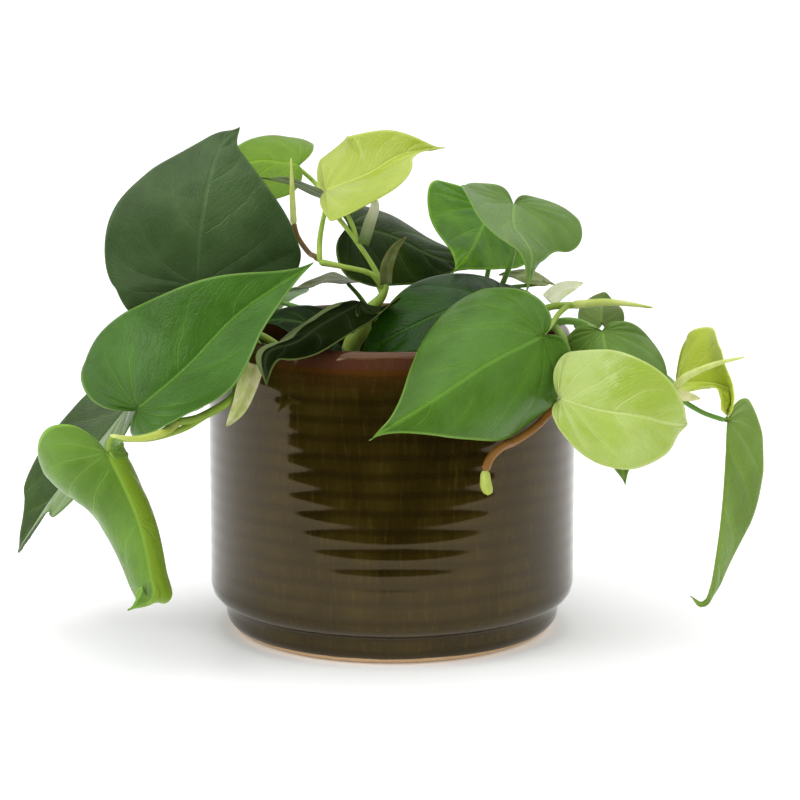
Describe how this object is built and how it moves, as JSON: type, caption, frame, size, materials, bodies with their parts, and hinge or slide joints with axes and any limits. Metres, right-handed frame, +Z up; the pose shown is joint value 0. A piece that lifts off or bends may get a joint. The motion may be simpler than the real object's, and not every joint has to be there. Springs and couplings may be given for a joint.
{
  "type": "potted trailing houseplant",
  "caption": "Heartleaf philodendron in a round glazed stoneware pot: heart shaped leaves on trailing stems, hanging over the rim, rooted in potting soil.",
  "frame": {"origin": "centre of the flat underside of the foot, on the floor", "axes": "+Z up along the pot's axis, -Y towards the front of the plant, +X to the right seen from the front"},
  "size_m": [0.2813, 0.2031, 0.1917],
  "materials": {
    "glazed_stoneware": "glossy dark olive brown glaze, bare clay foot",
    "potting_soil": "matt, crumbly",
    "leaf_dark_green": "satin leaf",
    "leaf_mid_green": "satin leaf",
    "leaf_fresh_green": "satin leaf",
    "leaf_lime": "glossy young leaf",
    "green_stem": "satin",
    "woody_stem": "satin",
    "pale_sheath": "thin, papery"
  },
  "bodies": {
    "root": {"pot": "glazed_stoneware", "soil": "potting_soil", "stem_main": "green_stem", "shoot_tip_stem": "woody_stem", "shoot_tip_top": "green_stem", "stem_left": "green_stem", "shoot_tip_left": "pale_sheath", "petioles_left": "green_stem", "stem_right": "green_stem", "shoot_tip_right": "green_stem", "stem_far_right": "green_stem", "shoot_tip_far_right": "green_stem", "stem_front_cut": "woody_stem", "cut_end": "pale_sheath", "petioles_back_right": "green_stem", "petioles_back": "green_stem", "petiole_mouth": "green_stem", "petiole_over_rim": "green_stem", "leaf_01_dark_upper_left": "leaf_dark_green", "leaf_02_front_left": "leaf_mid_green", "leaf_03_rolled_left": "leaf_fresh_green", "leaf_04_folded_left": "leaf_dark_green", "leaf_05_behind_dark": "leaf_fresh_green", "leaf_06_dark_edge_on": "leaf_dark_green", "leaf_07_lime_top": "leaf_lime", "leaf_08_dark_centre": "leaf_dark_green", "leaf_09_pot_mouth": "leaf_mid_green", "leaf_10_big_front": "leaf_mid_green", "leaf_11_lime_front_right": "leaf_lime", "leaf_12_hanging_behind": "leaf_dark_green", "leaf_13_small_dark": "leaf_dark_green", "leaf_14_young_folded": "leaf_lime", "leaf_15_hanging_right": "leaf_fresh_green", "leaf_16_upper_right": "leaf_mid_green", "leaf_17_bright_behind": "leaf_fresh_green", "leaf_18_sliver": "leaf_dark_green", "leaf_19_over_rim": "leaf_dark_green", "leaf_20_back_edge_on": "leaf_dark_green", "leaf_21_in_mouth": "leaf_dark_green", "leaf_22_back_right": "leaf_mid_green", "leaf_23_back_left": "leaf_mid_green", "sheath_centre": "pale_sheath", "sheath_top_flap": "pale_sheath", "sheath_left_rim": "pale_sheath", "sheath_right_back": "pale_sheath", "sheath_right_node": "pale_sheath"}
  },
  "joints": []
}
